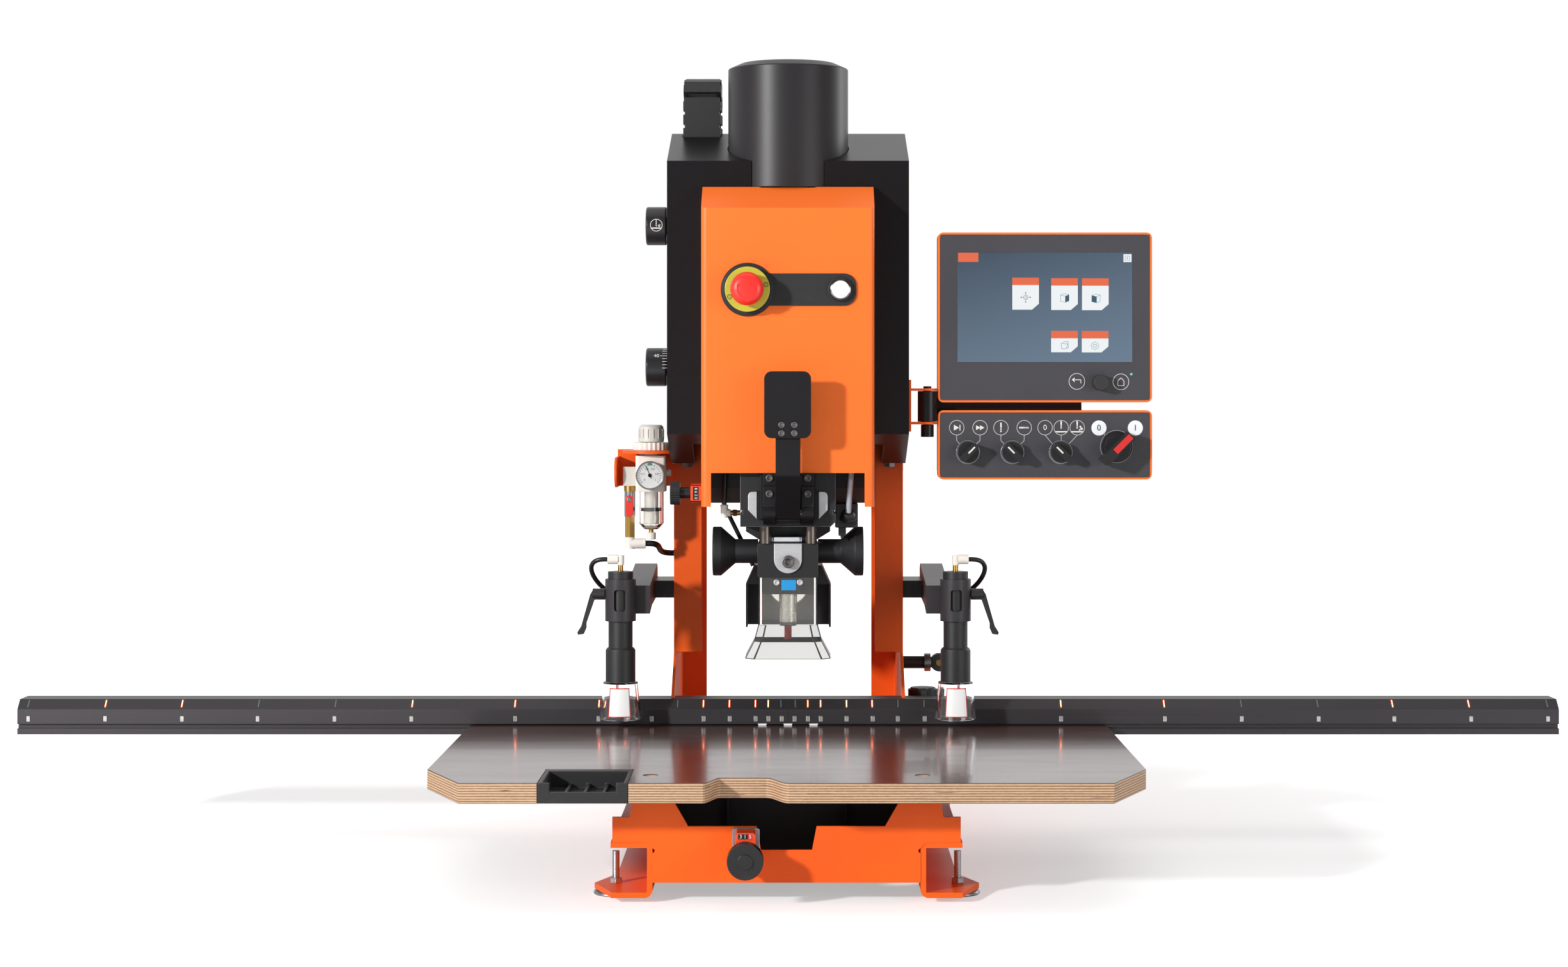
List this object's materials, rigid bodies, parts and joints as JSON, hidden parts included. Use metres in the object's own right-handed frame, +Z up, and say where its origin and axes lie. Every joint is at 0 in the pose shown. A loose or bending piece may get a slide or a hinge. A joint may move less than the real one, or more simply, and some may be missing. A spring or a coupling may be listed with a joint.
{
  "type": "hinge boring machine",
  "caption": "Bench machine that bores hinge holes in cabinet doors: air-lifted boring head, table, fence with stop pins, hold-downs and control panels.",
  "frame": {"origin": "on the floor, at the middle of the machine's footprint", "axes": "+X along the fence to the operator's right, +Y away from the operator, +Z up"},
  "size_m": [1.925, 0.82, 0.97],
  "materials": {
    "orange_paint": "powder coat, satin",
    "black_paint": "fine black powder coat",
    "black_plastic": "moulded, satin",
    "cast_black": "black lacquered casting with bare edges",
    "bare_steel": "ground and zinc-plated",
    "cast_light": "machined aluminium",
    "fence_black": "black anodised extrusion",
    "film_plywood": "phenolic film, glossy, bare plies at the edge",
    "brass": "turned brass",
    "white_plastic": "moulded",
    "grey_plastic": "moulded",
    "clear_plastic": "clear polycarbonate",
    "red_plastic": "moulded red plastic",
    "hose": "polyurethane hose",
    "grey_lead": "leads and air tube with their fittings",
    "panel_face": "dark membrane in an orange frame",
    "drill": "steel sleeve and red-coated bit"
  },
  "bodies": {
    "root": {"base_rails": "orange_paint", "cross_plates": "orange_paint", "levelling_feet": "bare_steel", "columns": "orange_paint", "casing": "black_paint", "lift_frame": "bare_steel", "lift_cylinder": "cast_light", "work_table": "film_plywood", "parts_tray": "black_plastic", "ruler_beam": "fence_black", "hold_down_arms": "black_paint", "hold_down_cylinders": "black_paint", "air_bracket": "orange_paint", "regulator_body": "white_plastic", "filter_bowl": "clear_plastic", "pressure_gauge": "bare_steel", "valve_body": "brass", "air_hoses": "hose", "panel_bracket": "orange_paint", "drag_chain": "black_plastic", "frame_screws": "bare_steel", "front_counter": "orange_paint", "support_rod": "black_paint"},
    "head": {"head_cover": "orange_paint", "motor_cap": "black_plastic", "motor": "cast_light", "head_carriage": "cast_light", "gear_housing": "cast_black", "slide_guides": "bare_steel", "spindle_block": "cast_black", "grip_handles": "black_plastic", "suction_hood": "black_plastic", "chip_guard": "clear_plastic", "control_strip": "black_plastic", "side_counter": "orange_paint", "head_cables": "grey_lead"},
    "panels": {"panel_arm": "black_paint", "display_panel": "panel_face", "switch_panel": "panel_face"},
    "front_knob": {"front_knob": "black_plastic"},
    "clamp_knob": {"clamp_knob": "black_plastic"},
    "dial_upper": {"dial_upper": "black_plastic"},
    "dial_lower": {"dial_lower": "black_plastic"},
    "lever_left": {"lever_left": "black_plastic"},
    "lever_right": {"lever_right": "black_plastic"},
    "plunger_left": {"plunger_left": "black_plastic"},
    "plunger_right": {"plunger_right": "black_plastic"},
    "regulator_knob": {"regulator_knob": "grey_plastic"},
    "valve_lever": {"valve_lever": "red_plastic"},
    "stop_pins": {"stop_pins": "bare_steel"},
    "spindle": {"spindle": "drill"},
    "estop_button": {"estop_button": "red_plastic"},
    "start_button": {"start_button": "white_plastic"},
    "insertion_arm": {"insertion_arm": "black_paint"},
    "side_knob": {"side_knob": "black_plastic"},
    "selector_1": {"selector_1": "black_plastic"},
    "selector_2": {"selector_2": "black_plastic"},
    "selector_3": {"selector_3": "black_plastic"},
    "main_switch": {"main_switch": "black_plastic"},
    "encoder_knob": {"encoder_knob": "black_plastic"}
  },
  "joints": [
    {"name": "head_stroke", "type": "slide", "parent": "root", "child": "head", "axis": [0, 0, -1], "range_m": [0, 0.101], "deforming": ["chip_guard"]},
    {"name": "spindle_turn", "type": "hinge", "parent": "head", "child": "spindle", "pos_m": [0, 0.0655, 0.3], "axis": [0, 0, 1], "continuous": true},
    {"name": "arm_swing", "type": "hinge", "parent": "head", "child": "insertion_arm", "pos_m": [-0.006, -0.01, 0.413], "axis": [1, 0, 0], "range_deg": [0, 115]},
    {"name": "estop_push", "type": "slide", "parent": "head", "child": "estop_button", "axis": [0, 1, 0], "range_m": [0, 0.005]},
    {"name": "start_push", "type": "slide", "parent": "head", "child": "start_button", "axis": [0, 1, 0], "range_m": [0, 0.0025], "stiffness_N_per_m": 800, "springref_m": -0.002},
    {"name": "side_knob_turn", "type": "hinge", "parent": "head", "child": "side_knob", "pos_m": [-0.125, 0.013, 0.437], "axis": [1, 0, 0], "continuous": true},
    {"name": "pins_out", "type": "slide", "parent": "root", "child": "stop_pins", "axis": [0, -1, 0], "range_m": [0, 0.006]},
    {"name": "dial_upper_turn", "type": "hinge", "parent": "root", "child": "dial_upper", "pos_m": [-0.16, 0.117, 0.768], "axis": [1, 0, 0], "continuous": true},
    {"name": "dial_lower_turn", "type": "hinge", "parent": "root", "child": "dial_lower", "pos_m": [-0.16, 0.117, 0.591], "axis": [1, 0, 0], "continuous": true},
    {"name": "front_knob_turn", "type": "hinge", "parent": "root", "child": "front_knob", "pos_m": [-0.0445, -0.37, 0.0545], "axis": [0, 1, 0], "continuous": true},
    {"name": "clamp_knob_turn", "type": "hinge", "parent": "root", "child": "clamp_knob", "pos_m": [0.1715, 0.173, 0.17], "axis": [0, 0, 1], "continuous": true},
    {"name": "lever_left_turn", "type": "hinge", "parent": "root", "child": "lever_left", "pos_m": [-0.2265, 0.062, 0.31], "axis": [1, 0, 0], "range_deg": [-60, 60]},
    {"name": "lever_right_turn", "type": "hinge", "parent": "root", "child": "lever_right", "pos_m": [0.2265, 0.062, 0.31], "axis": [1, 0, 0], "range_deg": [-60, 60]},
    {"name": "press_left", "type": "slide", "parent": "root", "child": "plunger_left", "axis": [0, 0, -1], "range_m": [0, 0.011], "stiffness_N_per_m": 500, "springref_m": -0.012},
    {"name": "press_right", "type": "slide", "parent": "root", "child": "plunger_right", "axis": [0, 0, -1], "range_m": [0, 0.011], "stiffness_N_per_m": 500, "springref_m": -0.012},
    {"name": "regulator_turn", "type": "hinge", "parent": "root", "child": "regulator_knob", "pos_m": [-0.1735, 0.145, 0.5], "axis": [0, 0, 1], "continuous": true},
    {"name": "valve_turn", "type": "hinge", "parent": "root", "child": "valve_lever", "pos_m": [-0.2005, 0.132, 0.424], "axis": [0, 1, 0], "range_deg": [0, 90]},
    {"name": "panel_swivel", "type": "hinge", "parent": "root", "child": "panels", "pos_m": [0.173, 0.08, 0.542], "axis": [0, 0, 1], "range_deg": [-60, 20]},
    {"name": "selector_1_turn", "type": "hinge", "parent": "panels", "child": "selector_1", "pos_m": [0.2234, 0.079, 0.485], "axis": [0, 1, 0], "range_deg": [-90, 0]},
    {"name": "selector_2_turn", "type": "hinge", "parent": "panels", "child": "selector_2", "pos_m": [0.2786, 0.079, 0.485], "axis": [0, 1, 0], "range_deg": [0, 90]},
    {"name": "selector_3_turn", "type": "hinge", "parent": "panels", "child": "selector_3", "pos_m": [0.3386, 0.079, 0.485], "axis": [0, 1, 0], "range_deg": [0, 90]},
    {"name": "main_switch_turn", "type": "hinge", "parent": "panels", "child": "main_switch", "pos_m": [0.408, 0.079, 0.492], "axis": [0, 1, 0], "range_deg": [-90, 0]},
    {"name": "encoder_turn", "type": "hinge", "parent": "panels", "child": "encoder_knob", "pos_m": [0.387, 0.079, 0.5715], "axis": [0, 1, 0], "continuous": true}
  ],
  "couplings": [
    {"joint": "press_right", "follows": "press_left", "ratio": 1}
  ]
}
